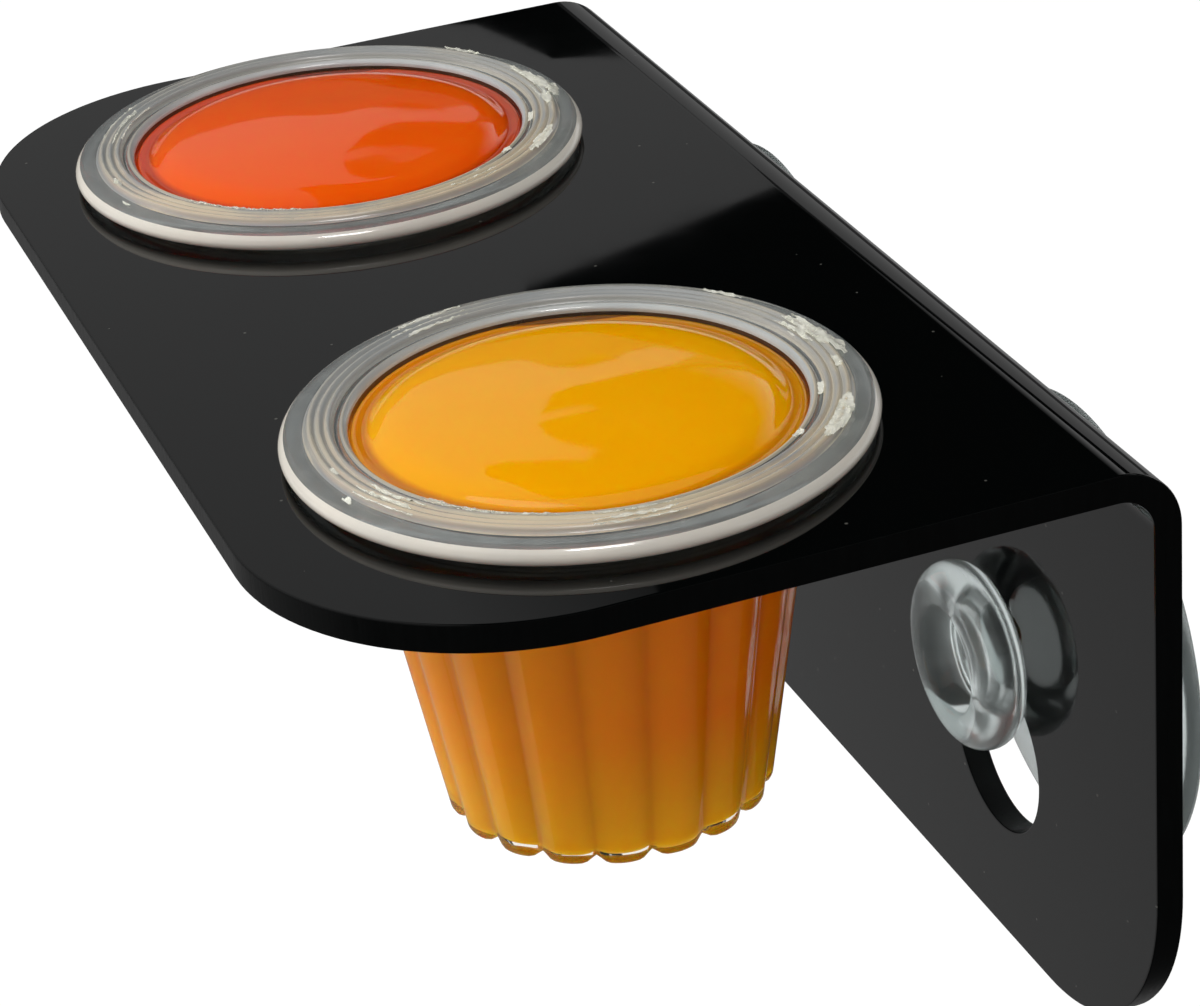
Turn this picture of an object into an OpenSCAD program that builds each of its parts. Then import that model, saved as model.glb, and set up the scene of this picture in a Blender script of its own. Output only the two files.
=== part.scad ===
// Two-cup fruit jelly holder for a terrarium: a bent black acrylic bracket that hangs on
// two clear suction cups and carries two fluted jelly cups in round holes.
// Frame: +X to the right seen from the front, +Y towards the glass, +Z up.
// The origin lies on the glass, halfway between the two suction cups, at their axis height.

/* [Bracket] */
// Length of the bracket along the bend
bracket_w = 100; // [80:1:140]
// Depth of the tray, from its front edge to the wall's back face
tray_depth = 56.5; // [46:0.5:80]
// Height of the wall plate, from the tray's top to its lower edge
wall_height = 48.5; // [40:0.5:70]
// Thickness of the acrylic sheet
sheet = 2; // [1.5:0.1:3]
// Inner radius of the heat bend
bend_inner_r = 2.5; // [1:0.1:4]
// Radius of the tray's two front corners
tray_corner_r = 18; // [5:0.5:22]
// Radius of the wall plate's two lower corners
wall_corner_r = 16; // [5:0.5:20]

/* [Cup holes] */
// Distance between the centres of the two cup holes
cup_spacing = 54.4; // [45:0.1:66]
// Distance from the tray's front edge to the cup holes' centres
cup_from_front = 25; // [20:0.5:30]
// Room between a cup and its hole, on the radius
cup_hole_clearance = 0.5; // [0.3:0.1:1]

/* [Keyholes] */
// Distance between the centres of the two keyholes
keyhole_spacing = 52.6; // [43:0.1:64]
// Height of the tray's top above the suction cups' axes when the bracket hangs
hang_drop = 25; // [20:0.5:30]
// Distance from the seat down to the centre of the wide hole
keyhole_travel = 8; // [6.5:0.1:10]
// Radius of the wide hole
wide_hole_r = 6.5; // [5.4:0.1:7.8]

/* [Suction cups] */
// Radius of the suction disc
disc_r = 17.5; // [14.5:0.5:21]
// Thickness of the disc at its edge
disc_edge = 0.8; // [0.5:0.1:1.2]
// Height of the disc's outer dome above the glass
dome_h = 4.4; // [3.6:0.1:5.3]
// Depth of the hollow that holds the vacuum
hollow_h = 2.8; // [2:0.1:3.4]
// Width of the flat edge that meets the glass
contact_w = 0.9; // [0.6:0.1:1.5]
// Radius of the boss behind the wall
boss_r = 5; // [4:0.1:6]
// Height of the boss above the dome's top
boss_h = 0.45; // [0.3:0.05:1]
// Radius of the neck that runs in the keyhole
neck_r = 3; // [2.5:0.1:3.6]
// Radius of the mushroom head
head_r = 6.9; // [5.7:0.1:8.3]
// Thickness of the mushroom head
head_t = 3.7; // [3:0.1:4.5]
// Radius of the dimple in the head
dimple_r = 3.3; // [2.5:0.1:4]
// Depth of the dimple in the head
dimple_depth = 2.4; // [1.5:0.1:2.9]
// Room between a neck and its slot, on the radius
neck_clearance = 0.2; // [0.1:0.05:0.4]
// Room between the wall's faces and the boss and the head
wall_clearance = 0.15; // [0.1:0.05:0.4]

/* [Fruit cups] */
// Height of the cup below the tray's top
cup_depth = 26.5; // [22:0.5:32]
// Radius of the cup's body over its flutes, level with the tray's top
cup_body_r = 15.4; // [12.5:0.1:19]
// Slope of the cup's side, in degrees
cup_draft = 9.2; // [6:0.1:12]
// Number of flutes round the cup
flute_count = 18; // [14:1:24]
// Radius of one flute
flute_r = 3.8; // [3.1:0.1:4.6]
// Turn of the flutes about the cup's axis, in degrees
flute_turn = 4; // [0:1:20]
// Thickness of the cup's wall and floor
cup_wall = 0.6; // [0.4:0.05:0.8]
// Width of the step where the flutes end and the round mouth begins
mouth_step = 0.1; // [0.05:0.05:0.4]
// Depth of the recess under the cup's floor
foot_recess = 1; // [0.6:0.1:1.5]
// Width of the ring of feet round that recess
foot_w = 2.2; // [1.8:0.1:3]
// Height of the outer lip's top above the tray
lip_top = 1.8; // [1.5:0.1:2.2]
// Thickness of the outer lip
lip_t = 1.1; // [0.8:0.1:1.4]
// Width of the outer lip, beyond the sealing band
lip_w = 1.6; // [1:0.1:2.4]
// Height of the sealing band above the outer lip
seal_rise = 0.5; // [0.3:0.1:0.8]
// Width of the sealing band
seal_w = 2; // [1.6:0.1:2.4]
// Width of the shoulder that rests on the tray, beyond the hole
shoulder_w = 1; // [0.6:0.1:1.4]

/* [Jelly and lid film] */
// Depth of the jelly's edge below the mouth's inner edge
jelly_drop = 0.3; // [0.1:0.1:0.8]
// Rise of the jelly's dome above its edge
jelly_rise = 1.2; // [0.6:0.1:2]
// Room between the jelly and the cup
jelly_clearance = 0.1; // [0.05:0.05:0.3]
// Thickness of the lid film left on the sealing band
film_t = 0.12; // [0.08:0.02:0.2]

/* [Hidden] */
$fn = 96;
left = -1;
right = 1;
// Length by which a cutting shape runs past the face that it cuts
overrun = 1;

bend_outer_r = bend_inner_r + sheet;
boss_face = -(dome_h + boss_h);
wall_back = boss_face - wall_clearance;
wall_front = wall_back - sheet;
tray_top = hang_drop;
tray_front = wall_back - tray_depth;
bend_y = wall_back - bend_outer_r;
bend_z = tray_top - bend_outer_r;

cup_y = tray_front + cup_from_front;
cup_hole_r = cup_body_r + cup_hole_clearance;
slot_r = neck_r + neck_clearance;

head_back = wall_front - wall_clearance;
head_front = head_back - head_t;
// Width of the bevelled mouth of the dimple
dimple_mouth = 0.8;

// Height above the tray where the flutes end and the round mouth begins
ledge_z = 0.5;
mouth_r = (cup_body_r - cup_wall) * taper(ledge_z) + mouth_step;
shoulder_r = cup_hole_r + shoulder_w;
lip_under = lip_top - lip_t;
seal_top = lip_top + seal_rise;
// Bevel round the outer lip, the sealing band and the mouth's inner edge
rim_bevel = 0.3;
// The channel between the mouth's inner edge and the sealing band
channel_w = 0.5;
mouth_edge_w = 0.5;
seal_inner_r = mouth_r + mouth_edge_w + channel_w;
seal_outer_r = seal_inner_r + seal_w;
rim_r = seal_outer_r + lip_w;
channel_z = lip_top;
mouth_top = seal_top - rim_bevel;
jelly_edge = mouth_top - jelly_drop;
cup_floor = -cup_depth + foot_recess + cup_wall;

cup_colour = [0.90, 0.89, 0.85, 0.55];
suction_colour = [0.72, 0.77, 0.78, 0.7];

// Radius of the circle whose segment has half-chord r and height h
function cap_radius(r, h) = (r * r + h * h) / (2 * h);

// Size of the cup's section at height z, as a share of its section at the tray's top
function taper(z) = 1 + z * tan(cup_draft) / cup_body_r;

// Half of a circular segment standing on the x axis, for turning into a dome
module half_segment(r, h) {
    intersection() {
        translate([0, h - cap_radius(r, h)]) circle(cap_radius(r, h));
        square([r, h]);
    }
}

// Flat plate with one square end at y = 0 and two round corners at the other end
module plate_outline(length, corner) {
    translate([-bracket_w / 2, corner - length]) square([bracket_w, length - corner]);
    translate([corner - bracket_w / 2, -length]) square([bracket_w - 2 * corner, length]);
    for (side = [left, right])
        translate([side * (bracket_w / 2 - corner), corner - length]) circle(corner);
}

// Keyhole in the wall's plane, with the neck's seat at the origin
module keyhole_outline() {
    circle(slot_r);
    translate([-slot_r, -keyhole_travel]) square([2 * slot_r, keyhole_travel]);
    translate([0, -keyhole_travel]) circle(wide_hole_r);
}

// Quarter ring of sheet that joins the tray to the wall
module bend() {
    translate([-bracket_w / 2, bend_y, bend_z])
        rotate([90, 0, 90])
            linear_extrude(bracket_w)
                intersection() {
                    difference() {
                        circle(bend_outer_r);
                        circle(bend_inner_r);
                    }
                    square(bend_outer_r);
                }
}

module bracket() {
    color("#1c1d1d")
        difference() {
            union() {
                translate([0, bend_y, tray_top - sheet])
                    linear_extrude(sheet) plate_outline(tray_depth - bend_outer_r, tray_corner_r);
                translate([0, wall_back, bend_z])
                    rotate([90, 0, 0])
                        linear_extrude(sheet) plate_outline(wall_height - bend_outer_r, wall_corner_r);
                bend();
            }
            for (side = [left, right]) {
                translate([side * cup_spacing / 2, cup_y, tray_top - sheet - overrun])
                    cylinder(r = cup_hole_r, h = sheet + 2 * overrun);
                translate([side * keyhole_spacing / 2, wall_back + overrun, 0])
                    rotate([90, 0, 0])
                        linear_extrude(sheet + 2 * overrun) keyhole_outline();
            }
        }
}

// Section of the suction cup: x is the radius and y runs towards the glass
module suction_section() {
    difference() {
        union() {
            translate([0, -disc_edge]) square([disc_r, disc_edge]);
            translate([0, -disc_edge]) mirror([0, 1]) half_segment(disc_r, dome_h - disc_edge);
            translate([0, boss_face]) square([boss_r, -boss_face - hollow_h]);
            translate([0, head_back - overrun]) square([neck_r, boss_face - head_back + 2 * overrun]);
            translate([0, head_front]) square([head_r - head_t / 2, head_t]);
            translate([head_r - head_t / 2, head_front + head_t / 2]) circle(head_t / 2);
        }
        mirror([0, 1]) half_segment(disc_r - contact_w, hollow_h);
        polygon([
            [0, head_front - overrun],
            [dimple_r + dimple_mouth, head_front - overrun],
            [dimple_r + dimple_mouth, head_front],
            [dimple_r, head_front + dimple_mouth],
            [dimple_r, head_front + dimple_depth],
            [0, head_front + dimple_depth]
        ]);
    }
}

module suction_cup(side) {
    color(suction_colour)
        translate([side * keyhole_spacing / 2, 0, 0])
            rotate([-90, 0, 0])
                rotate_extrude() suction_section();
}

// Scalloped section of the cup at the tray's level, drawn in by inset all round
module fluted_outline(inset) {
    circle(cup_body_r - flute_r);
    for (i = [0 : flute_count - 1])
        rotate(flute_turn + i * 360 / flute_count)
            translate([cup_body_r - flute_r, 0]) circle(flute_r - inset, $fn = 36);
}

// Tapered fluted solid between two heights measured from the tray's top
module fluted_taper(inset, low, high) {
    translate([0, 0, high])
        mirror([0, 0, 1])
            linear_extrude(high - low, scale = taper(low) / taper(high))
                scale(taper(high)) fluted_outline(inset);
}

// Section of the rim, filled in to the cup's axis
module rim_section() {
    polygon([
        [0, 0],
        [shoulder_r, 0],
        [shoulder_r, lip_under],
        [rim_r - rim_bevel, lip_under],
        [rim_r, lip_under + rim_bevel],
        [rim_r, lip_top - rim_bevel],
        [rim_r - rim_bevel, lip_top],
        [seal_outer_r + rim_bevel, lip_top],
        [seal_outer_r, seal_top],
        [seal_inner_r, seal_top],
        [seal_inner_r - rim_bevel / 2, channel_z],
        [mouth_r + mouth_edge_w, channel_z],
        [mouth_r + rim_bevel, mouth_top],
        [0, mouth_top]
    ]);
}

// Moves a piece of a fruit cup from the cup's own axis to its hole in the tray
module at_cup_hole(side) {
    translate([side * cup_spacing / 2, cup_y, tray_top]) children();
}

module fruit_cup(side) {
    color(cup_colour)
        at_cup_hole(side)
            difference() {
                union() {
                    rotate_extrude() rim_section();
                    fluted_taper(0, -cup_depth, ledge_z);
                }
                fluted_taper(cup_wall, cup_floor, ledge_z + overrun);
                translate([0, 0, ledge_z]) cylinder(r = mouth_r, h = seal_top);
                translate([0, 0, -cup_depth - overrun])
                    cylinder(r = cup_body_r * taper(-cup_depth) - foot_w, h = foot_recess + overrun);
            }
}

module jelly(side, colour) {
    ledge_top = ledge_z + jelly_clearance;
    color(colour)
        at_cup_hole(side) {
            fluted_taper(cup_wall + jelly_clearance, cup_floor + jelly_clearance, ledge_top);
            rotate_extrude() {
                translate([0, ledge_top]) square([mouth_r - jelly_clearance, jelly_edge - ledge_top]);
                translate([0, jelly_edge]) half_segment(mouth_r - jelly_clearance, jelly_rise);
            }
        }
}

module lid_film(side) {
    color("#efe9d2")
        at_cup_hole(side)
            rotate_extrude() translate([seal_inner_r, seal_top]) square([seal_w, film_t]);
}

bracket();
suction_cup(left);  // suction_cup_left
suction_cup(right);  // suction_cup_right
fruit_cup(left);  // fruit_cup_left
fruit_cup(right);  // fruit_cup_right
jelly(left, "#e65519");  // jelly_left
jelly(right, "#e8a014");  // jelly_right
lid_film(left);  // lid_film_left
lid_film(right);  // lid_film_right
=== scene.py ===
"""Looks of a two-cup fruit jelly holder, modelled round its packed frame.

Everything is in metres: +X to the right, +Y towards the glass, +Z up.
"""
import math
import random

import bmesh
import bpy
from bpy.props import FloatProperty, FloatVectorProperty, IntProperty, PointerProperty
from bpy.types import Operator, Panel, PropertyGroup
from mathutils import Matrix, Vector


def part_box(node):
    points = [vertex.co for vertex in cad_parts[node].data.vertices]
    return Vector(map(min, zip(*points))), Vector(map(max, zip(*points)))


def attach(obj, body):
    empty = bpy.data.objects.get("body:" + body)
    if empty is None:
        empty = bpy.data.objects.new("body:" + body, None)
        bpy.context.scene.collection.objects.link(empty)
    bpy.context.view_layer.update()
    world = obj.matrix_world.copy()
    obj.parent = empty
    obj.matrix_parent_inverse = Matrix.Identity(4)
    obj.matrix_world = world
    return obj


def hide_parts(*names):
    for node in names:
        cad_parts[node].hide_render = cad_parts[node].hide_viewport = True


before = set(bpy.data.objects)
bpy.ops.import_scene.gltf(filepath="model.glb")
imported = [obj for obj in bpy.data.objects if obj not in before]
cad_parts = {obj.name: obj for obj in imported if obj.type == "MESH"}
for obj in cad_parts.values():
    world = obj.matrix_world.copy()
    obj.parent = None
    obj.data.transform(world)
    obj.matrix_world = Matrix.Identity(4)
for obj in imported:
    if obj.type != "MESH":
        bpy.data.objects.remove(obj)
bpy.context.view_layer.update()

bl_info = {
    "name": "Fruit Jelly Holder",
    "version": (1, 0, 0),
    "blender": (4, 5, 0),
    "location": "3D View > Sidebar > Fruit Holder",
    "description": "Models an acrylic shelf with suction cups and two fruit jelly cups",
    "category": "Add Mesh",
}

MM = 0.001
SIDES = ("left", "right")
BRACKET_LOW, BRACKET_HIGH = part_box("bracket")
TRAY_TOP = BRACKET_HIGH.z
# Places closer than this count as one line or level
TINY = 0.01 * MM
# Vertices closer than this are merged
WELD = 0.002 * MM
# Scale factors closer than this are one factor
EVEN = 1e-6


def linear(hex_colour, alpha=1.0):
    """Linear colour of an sRGB hex value such as "#e8a014"."""
    parts = [int(hex_colour[i : i + 2], 16) / 255 for i in (1, 3, 5)]
    return (*((p / 12.92 if p <= 0.04045 else ((p + 0.055) / 1.055) ** 2.4) for p in parts), alpha)


def axis_of(node):
    """Middle of a CAD node's box."""
    low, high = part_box(node)
    return (low + high) / 2


def length(name, description, default):
    """A size in millimetres as a property in metres."""
    return FloatProperty(
        name=name, description=description, default=default * MM, unit="LENGTH", precision=5
    )


def colour(name, description, hex_colour):
    """A colour property from an sRGB hex value."""
    return FloatVectorProperty(
        name=name, description=description, default=linear(hex_colour), size=4, subtype="COLOR",
        min=0, max=1,
    )


class BracketSettings(PropertyGroup):
    """Sizes and finish of the bent acrylic bracket."""

    sheet: length("Sheet", "Thickness of the acrylic sheet", 2)
    bend_radius: length("Bend radius", "Outer radius of the heat bend", 4.5)
    tray_corner: length("Tray corner", "Radius of the tray's front corners", 18)
    wall_corner: length("Wall corner", "Radius of the wall plate's lower corners", 16)
    edge_break: length("Edge break", "Width of the broken edge left by the cutter", 0.16)
    cup_hole: length("Cup hole", "Radius of each cup hole", 15.9)
    slot: length("Slot", "Radius of the keyhole's slot", 3.2)
    wide_hole: length("Wide hole", "Radius of the keyhole's wide end", 6.5)
    travel: length("Travel", "Distance from the seat to the wide end's centre", 8)
    acrylic: colour("Acrylic", "Colour of the polished sheet", "#030404")


class SuctionSettings(PropertyGroup):
    """Sizes and finish of the suction cups."""

    disc: length("Disc", "Radius of the suction disc", 17.5)
    hollow: length("Hollow", "Radius of the hollow under the disc", 16.6)
    pvc: colour("PVC", "Tint of the clear soft PVC", "#d6dedd")


class CupSettings(PropertyGroup):
    """Sizes and finish of the fruit cups."""

    flutes: IntProperty(name="Flutes", description="Number of flutes round a cup", default=18, min=6)
    flute_radius: length("Flute radius", "Radius of one flute", 3.8)
    body: length("Body", "Radius over the flutes, level with the tray's top", 15.4)
    turn: FloatProperty(
        name="Turn", description="Turn of the flutes about the cup's axis",
        default=math.radians(4), subtype="ANGLE",
    )
    clear: colour("Clear wall", "Tint of the clear thermoformed wall", "#fbf7ec")
    rim: colour("Rim", "Tint of the hazy rim", "#868b8b")
    ridges: colour("Ridges", "Tint of the sealing ridges", "#94989a")
    residue: colour("Residue", "Colour of the dried adhesive", "#d2c4a8")
    lip: colour("Lip", "Tint of the rim's thick edge", "#f0e8da")
    mouth: colour("Mouth", "Tint of the mouth's inner wall", "#aeb5b7")


class JellySettings(PropertyGroup):
    """Colours of the two jellies."""

    left_top: colour("Left top", "Colour of the left jelly's top", "#f05c08")
    # The body colour is painted shade: darker and browner under the tray, which shades the jelly
    left_body: colour("Left body", "Colour of the left jelly below the tray", "#c23c0a")
    left_foot: colour("Left foot", "Colour of the left jelly at its foot", "#d0580e")
    left_pale: colour("Left pale", "Colour of the left jelly's paler clouds", "#ea7018")
    # The lit colour is painted light on the front of the jelly below the tray
    left_lit: colour("Left lit", "Colour of the left jelly's front, where light passes", "#cc5c10")
    # The edge colour is painted shade in the thin edge along the wall
    left_edge: colour("Left edge", "Colour of the left jelly's thin edge", "#b83606")
    # The syrup colour is syrup darkened by painted shadow, in the gap at the wall
    left_syrup: colour("Left syrup", "Colour of the syrup beside the left jelly", "#4a1a06")
    right_top: colour("Right top", "Colour of the right jelly's top", "#f8aa02")
    # The body colour is painted shade: darker and browner under the tray, which shades the jelly
    right_body: colour("Right body", "Colour of the right jelly below the tray", "#dc7a08")
    right_foot: colour("Right foot", "Colour of the right jelly at its foot", "#dcaa10")
    right_pale: colour("Right pale", "Colour of the right jelly's paler clouds", "#f8b41a")
    # The lit colour is painted light on the front of the jelly below the tray
    right_lit: colour("Right lit", "Colour of the right jelly's front, where light passes", "#d49e20")
    # The edge colour is painted shade in the thin edge along the wall
    right_edge: colour("Right edge", "Colour of the right jelly's thin edge", "#c8780e")
    # The syrup colour is syrup darkened by painted shadow, in the gap at the wall
    right_syrup: colour("Right syrup", "Colour of the syrup beside the right jelly", "#4c3008")


class FilmSettings(PropertyGroup):
    """Size and colour of the torn lid film."""

    thickness: length("Thickness", "Thickness of the film", 0.05)
    seed: IntProperty(name="Seed", description="Seed of the tears", default=7)
    film: colour("Film", "Colour of the film and its adhesive", "#faf9f5")


class StageSettings(PropertyGroup):
    """Camera, floor and light."""

    focal: FloatProperty(
        name="Focal length", description="Lens of the camera, in millimetres", default=110.27,
        unit="CAMERA",
    )
    floor_drop: length("Floor drop", "Height of the suction axis above the floor", 90)


def begin():
    """Deselects everything, so that the next operators act on the next primitive alone."""
    bpy.ops.object.select_all(action="DESELECT")


def take_up(piece):
    """Selects this piece alone and makes it the active one."""
    begin()
    piece.select_set(True)
    bpy.context.view_layer.objects.active = piece


def settle(name):
    """Names the new primitive or copy and moves its place into its mesh."""
    piece = bpy.context.object
    piece.name = piece.data.name = name
    bpy.ops.object.transform_apply(location=True, rotation=True, scale=True)
    return piece


def edit(piece):
    """Goes into edit mode on the piece."""
    bpy.context.view_layer.objects.active = piece
    bpy.ops.object.mode_set(mode="EDIT")


def leave_edit():
    """Goes back to object mode."""
    bpy.ops.object.mode_set(mode="OBJECT")


def choose(piece, kind, test):
    """Selects the vertices (VERT), edges (EDGE) or faces (FACE) that pass the test."""
    bpy.ops.mesh.select_mode(type=kind)
    bpy.ops.mesh.select_all(action="DESELECT")
    mesh = bmesh.from_edit_mesh(piece.data)
    for element in {"VERT": mesh.verts, "EDGE": mesh.edges, "FACE": mesh.faces}[kind]:
        element.select_set(test(element))
    bmesh.update_edit_mesh(piece.data)


def pick(piece, kind, test):
    """Selects the vertices, edges or faces whose vertices all lie at places that pass the test."""
    if kind == "VERT":
        choose(piece, kind, lambda vertex: test(vertex.co))
    else:
        choose(piece, kind, lambda element: all(test(v.co) for v in element.verts))


def move(x=0.0, y=0.0, z=0.0):
    """Settings of a translate step inside an extrude operator."""
    return {"value": (x, y, z)}


def modify(piece, kind, **settings):
    """Adds a modifier with its settings and applies it."""
    bpy.context.view_layer.objects.active = piece
    modifier = piece.modifiers.new(kind.title(), kind)
    for key, value in settings.items():
        setattr(modifier, key, value)
    bpy.ops.object.modifier_apply(modifier=modifier.name)


def cut(piece, cutter):
    """Takes the cutter out of the piece and removes it."""
    modify(piece, "BOOLEAN", operation="DIFFERENCE", solver="EXACT", object=cutter)
    bpy.data.objects.remove(cutter)


def close_up():
    """Merges the doubles of a closed piece in edit mode and turns its faces outwards."""
    bpy.ops.mesh.select_all(action="SELECT")
    bpy.ops.mesh.remove_doubles(threshold=WELD)
    bpy.ops.mesh.normals_make_consistent(inside=False)


def smooth(piece, degrees):
    """Smooth shading, with edges sharper than the angle kept."""
    take_up(piece)
    bpy.ops.object.shade_smooth_by_angle(angle=math.radians(degrees))


def both_sides(piece, name, node):
    """Copies a left piece to the right, with a mesh of its own; gives both, each with its side."""
    take_up(piece)
    bpy.ops.object.duplicate(linked=False)
    bpy.context.object.location = axis_of(node + "right") - axis_of(node + "left")
    return zip(SIDES, (piece, settle(name + "right")))


def hand_over(piece, body, node, slot, *materials):
    """Gives a finished piece its materials and its body, and hides the CAD node it stands for; the slot
    is not used.
    """
    for material in materials:
        piece.data.materials.append(material)
    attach(piece, body)
    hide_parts(node)


def add(tree, kind, inputs=None, **settings):
    """Adds a shader node of a kind with its settings, and sets or links its inputs."""
    made = tree.nodes.new("ShaderNode" + kind)
    for key, value in settings.items():
        setattr(made, key, value)
    for key, value in (inputs or {}).items():
        if isinstance(value, bpy.types.NodeSocket):
            tree.links.new(value, made.inputs[key])
        else:
            made.inputs[key].default_value = value
    return made


def empty_nodes(owner):
    """Turns on the nodes of a material or a world, and gives their empty tree."""
    owner.use_nodes = True
    owner.node_tree.nodes.clear()
    return owner.node_tree


def start_material(name):
    """A new material, with its node tree and the piece's own coordinates."""
    material = bpy.data.materials.new(name)
    tree = empty_nodes(material)
    return material, tree, add(tree, "TexCoord").outputs["Object"]


def relief(tree, pattern, rough, strength, depth):
    """Shader inputs for a roughness, from one value to another, and a bump that follow one pattern."""
    low, high = rough
    gloss = add(tree, "MapRange", {"Value": pattern, "To Min": low, "To Max": high})
    bump = add(tree, "Bump", {"Height": pattern, "Strength": strength, "Distance": depth})
    return {"Roughness": gloss.outputs["Result"], "Normal": bump.outputs["Normal"]}


def finish_material(material, inputs, lamps_pass=False):
    """Gives a material its Principled shader and its output.

    Light from the lamps can pass a clear piece, so that what is behind it is lit.
    """
    tree = material.node_tree
    surface = add(tree, "BsdfPrincipled", inputs).outputs["BSDF"]
    if lamps_pass:
        lamp_ray = add(tree, "LightPath").outputs["Is Shadow Ray"]
        clear = add(tree, "BsdfTransparent", {"Color": linear("#f7f7f5")}).outputs["BSDF"]
        mixed = add(tree, "MixShader", {0: lamp_ray, 1: surface, 2: clear})
        surface = mixed.outputs["Shader"]
    add(tree, "OutputMaterial", {"Surface": surface})
    return material


def polished_acrylic(base):
    """Cast acrylic sheet, polished: a deep black mirror with smears and a little dust."""
    material, tree, place = start_material("polished_black_acrylic")
    # Smears about 14 mm long, from wiping
    smear = add(
        tree, "TexNoise", {"Vector": place, "Scale": 1 / (14 * MM), "Detail": 4, "Roughness": 0.6}
    )
    smeared = {"From Min": 0.35, "From Max": 0.75, "To Min": 0.012, "To Max": 0.045}
    rough = add(tree, "MapRange", {"Value": smear.outputs["Fac"], **smeared})
    # Dust, one grain at most in a cell of 2.6 mm: its radius is 0.042 of the cell, or 0.2 mm across
    cell = add(tree, "TexVoronoi", {"Vector": place, "Scale": 1 / (2.6 * MM)})
    grain = add(tree, "Math", {0: cell.outputs["Distance"], 1: 0.042}, operation="LESS_THAN")
    tint = add(
        tree, "Mix",
        {"Factor": grain.outputs["Value"], "A": base, "B": linear("#4a4a46")}, data_type="RGBA",
    )
    # The faint roll of the sheet, about 28 mm from crest to crest
    roll = add(tree, "TexNoise", {"Vector": place, "Scale": 1 / (28 * MM), "Detail": 1})
    bump = add(tree, "Bump", {"Height": roll.outputs["Fac"], "Strength": 0.25, "Distance": 0.05 * MM})
    return finish_material(material, {
        "Base Color": tint.outputs["Result"], "Roughness": rough.outputs["Result"],
        "Normal": bump.outputs["Normal"], "IOR": 1.49,
    })


def cut_acrylic(base):
    """Cut edge of the same sheet: satin, with fine marks across its thickness."""
    material, tree, place = start_material("cut_acrylic_edge")
    # Marks 0.3 mm apart that run 4 mm down the edge
    stretched = add(
        tree, "Mapping", {"Vector": place, "Scale": (1 / (0.3 * MM), 1 / (0.3 * MM), 1 / (4 * MM))}
    )
    noise = add(tree, "TexNoise", {"Vector": stretched.outputs["Vector"], "Scale": 1, "Detail": 2})
    marks = noise.outputs["Fac"]
    tint = add(tree, "Mix", {"Factor": marks, "A": base, "B": linear("#070808")}, data_type="RGBA")
    return finish_material(material, {
        "Base Color": tint.outputs["Result"], "IOR": 1.49, "Specular IOR Level": 0.12,
        **relief(tree, marks, rough=(0.22, 0.42), strength=0.3, depth=0.03 * MM),
    })


def clear_pvc(tint):
    """Soft moulded PVC: clear and faintly grey, with flow ripples and a soft gloss."""
    material, tree, place = start_material("clear_soft_pvc")
    # Flow ripples about 3 mm apart
    ripple = add(tree, "TexNoise", {"Vector": place, "Scale": 1 / (3 * MM), "Detail": 2})
    return finish_material(material, {
        "Base Color": tint, "IOR": 1.53, "Transmission Weight": 0.9,
        **relief(tree, ripple.outputs["Fac"], rough=(0.08, 0.2), strength=0.2, depth=0.06 * MM),
    }, lamps_pass=True)


def clear_wall(tint):
    """Thermoformed polypropylene wall: clear, with faint drawing lines down the cup."""
    material, tree, place = start_material("clear_polypropylene_wall")
    # Drawing lines 0.9 mm apart and 12 mm long
    stretched = add(
        tree, "Mapping", {"Vector": place, "Scale": (1 / (0.9 * MM), 1 / (0.9 * MM), 1 / (12 * MM))}
    )
    lines = add(tree, "TexNoise", {"Vector": stretched.outputs["Vector"], "Scale": 1, "Detail": 2})
    return finish_material(material, {
        "Base Color": tint, "IOR": 1.49, "Transmission Weight": 1.0,
        **relief(tree, lines.outputs["Fac"], rough=(0.02, 0.1), strength=0.25, depth=0.05 * MM),
    }, lamps_pass=True)


def waxy_plastic(name, tint, shade, clearness):
    """Thick or wet polypropylene of the rim: light caught in it gives a waxy haze of two tints."""
    material, tree, place = start_material("waxy_polypropylene_" + name)
    # Haze that varies over about 5 mm
    noise = add(tree, "TexNoise", {"Vector": place, "Scale": 1 / (5 * MM), "Detail": 3})
    haze = noise.outputs["Fac"]
    mixed = add(tree, "Mix", {"Factor": haze, "A": tint, "B": shade}, data_type="RGBA")
    rough = add(tree, "MapRange", {"Value": haze, "To Min": 0.06, "To Max": 0.16})
    return finish_material(material, {
        "Base Color": mixed.outputs["Result"], "Roughness": rough.outputs["Result"],
        "IOR": 1.49, "Transmission Weight": clearness,
    }, lamps_pass=True)


def cloudy_rim(tint):
    """The cup's flat rim: clear polypropylene with a grey haze."""
    material, tree, place = start_material("hazy_polypropylene_rim")
    # Haze and fine scuffs about 2.5 mm long
    noise = add(tree, "TexNoise", {"Vector": place, "Scale": 1 / (2.5 * MM), "Detail": 4})
    haze = noise.outputs["Fac"]
    mixed = add(tree, "Mix", {"Factor": haze, "A": tint, "B": linear("#c2c6c4")}, data_type="RGBA")
    return finish_material(material, {
        "Base Color": mixed.outputs["Result"], "IOR": 1.49, "Transmission Weight": 0.72,
        **relief(tree, haze, rough=(0.05, 0.22), strength=0.2, depth=0.03 * MM),
    }, lamps_pass=True)


def off_axis(tree, place, axis):
    """Distance from a cup's axis, with the height left out."""
    centred = add(tree, "Mapping", {"Vector": place, "Location": (-axis.x, -axis.y, 0)})
    flat = add(tree, "VectorMath", {0: centred.outputs["Vector"], 1: (1, 1, 0)}, operation="MULTIPLY")
    distance = add(tree, "VectorMath", {0: flat.outputs["Vector"]}, operation="LENGTH")
    return distance.outputs["Value"]


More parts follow.
